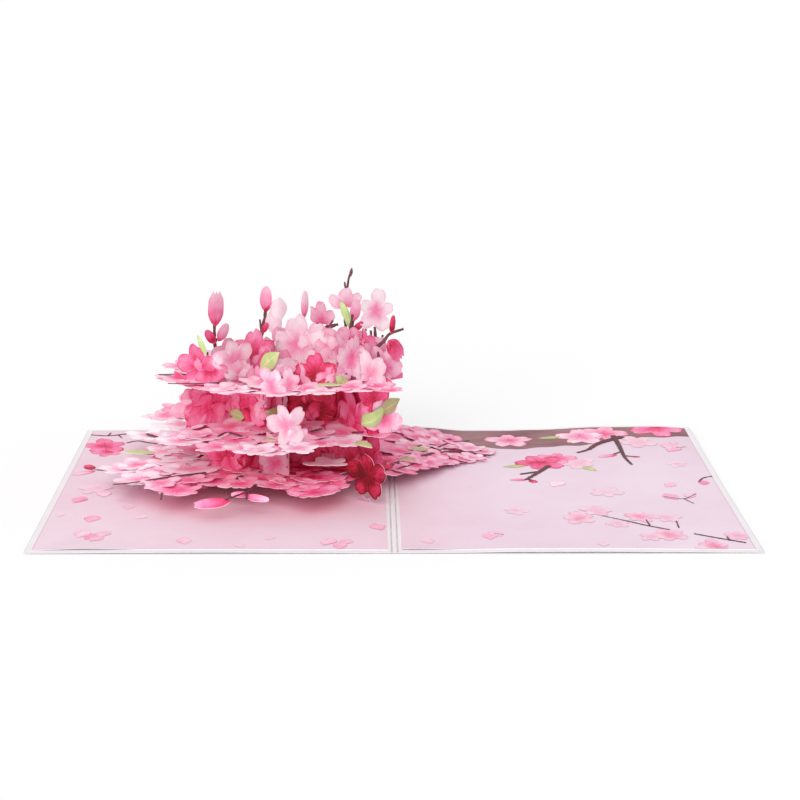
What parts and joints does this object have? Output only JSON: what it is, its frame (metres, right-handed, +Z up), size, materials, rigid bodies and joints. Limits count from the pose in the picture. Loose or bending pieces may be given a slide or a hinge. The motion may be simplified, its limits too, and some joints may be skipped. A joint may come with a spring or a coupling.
{
  "type": "pop up card",
  "caption": "Open folded greeting card with pink printed liners and a layered pop up bough of die-cut blossoms, buds, leaves and twigs",
  "frame": {"origin": "middle of the gutter on the surface that the open card lies on", "axes": "+X to the right across both panels, +Y from the bottom edge to the top edge of the card, +Z up through the pop-up"},
  "size_m": [0.254, 0.178, 0.0821],
  "materials": {
    "white_card": "matte",
    "page_print": "matte",
    "blossom_print": "matte",
    "pale_blossom_print": "matte",
    "crimson_print": "matte",
    "pink_card": "matte"
  },
  "bodies": {
    "root": {"cover": "white_card", "left_page": "page_print", "right_page": "page_print", "lower_bough": "blossom_print", "middle_bough": "blossom_print", "upper_bough": "blossom_print", "left_upright": "pink_card", "right_upright": "pink_card", "left_stand": "pink_card", "right_stand": "pink_card", "lower_wall": "crimson_print", "middle_wall": "crimson_print", "strut_blossom": "blossom_print", "gutter_blossom": "crimson_print", "standing_blossom": "pale_blossom_print", "tab_blossom": "pale_blossom_print", "rim_blossom": "pale_blossom_print", "crown_front": "blossom_print", "crown_middle": "pale_blossom_print", "crown_rear": "pale_blossom_print", "crown_right": "blossom_print"}
  },
  "joints": []
}
